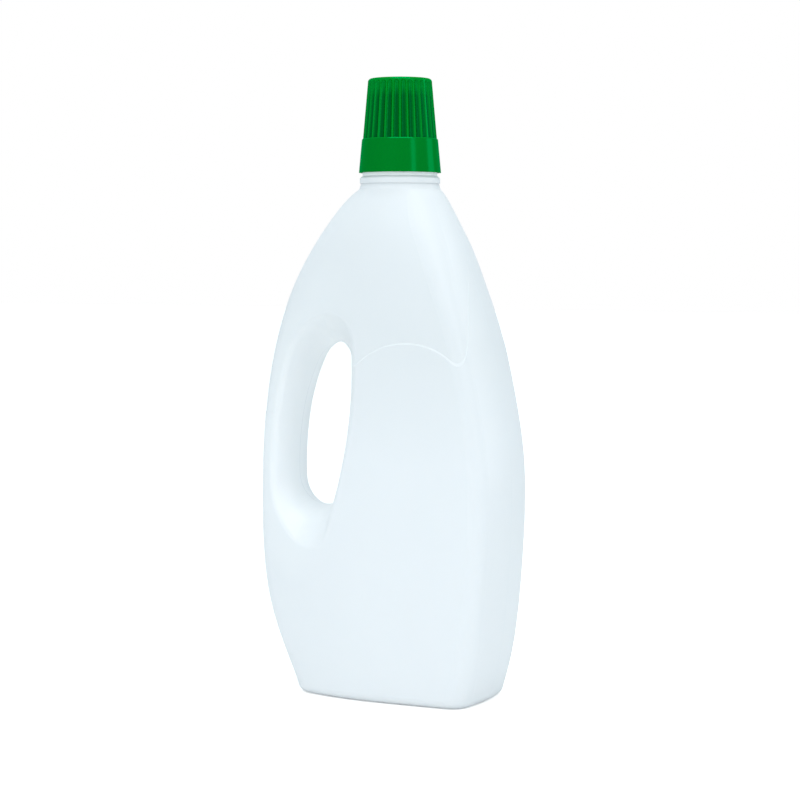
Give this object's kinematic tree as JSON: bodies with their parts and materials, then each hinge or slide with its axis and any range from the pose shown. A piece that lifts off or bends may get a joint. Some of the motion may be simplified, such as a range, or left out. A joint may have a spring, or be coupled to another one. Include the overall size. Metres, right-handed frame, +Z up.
{
  "type": "cleaner bottle",
  "caption": "One-litre blow-moulded cleaner bottle with a through handle, a pour insert and a ribbed screw cap.",
  "frame": {"origin": "on the table, under the middle of the bottle's width and depth", "axes": "+Z up along the neck; +Y across the thin way of the bottle; the handle is towards -X"},
  "size_m": [0.1273, 0.0572, 0.2882],
  "materials": {
    "bottle_hdpe": "satin, slightly translucent white polyethylene",
    "insert_ldpe": "satin natural polyethylene",
    "liner_foam": "matt white foamed polyethylene",
    "cap_pp": "glossy green polypropylene"
  },
  "bodies": {
    "bottle": {"bottle": "bottle_hdpe", "pour_insert": "insert_ldpe"},
    "liner": {"cap_liner": "liner_foam"},
    "cap": {"screw_cap": "cap_pp"}
  },
  "joints": [
    {"name": "cap_lift", "type": "slide", "parent": "bottle", "child": "liner", "axis": [0, 0, 1], "range_m": [0, 0.00631]},
    {"name": "cap_turn", "type": "hinge", "parent": "liner", "child": "cap", "pos_m": [0.0069, 0, 0.2605], "axis": [0, 0, 1], "range_deg": [0, 540]}
  ],
  "couplings": [
    {"joint": "cap_lift", "follows": "cap_turn", "m_per_rad": 0.00066845}
  ]
}
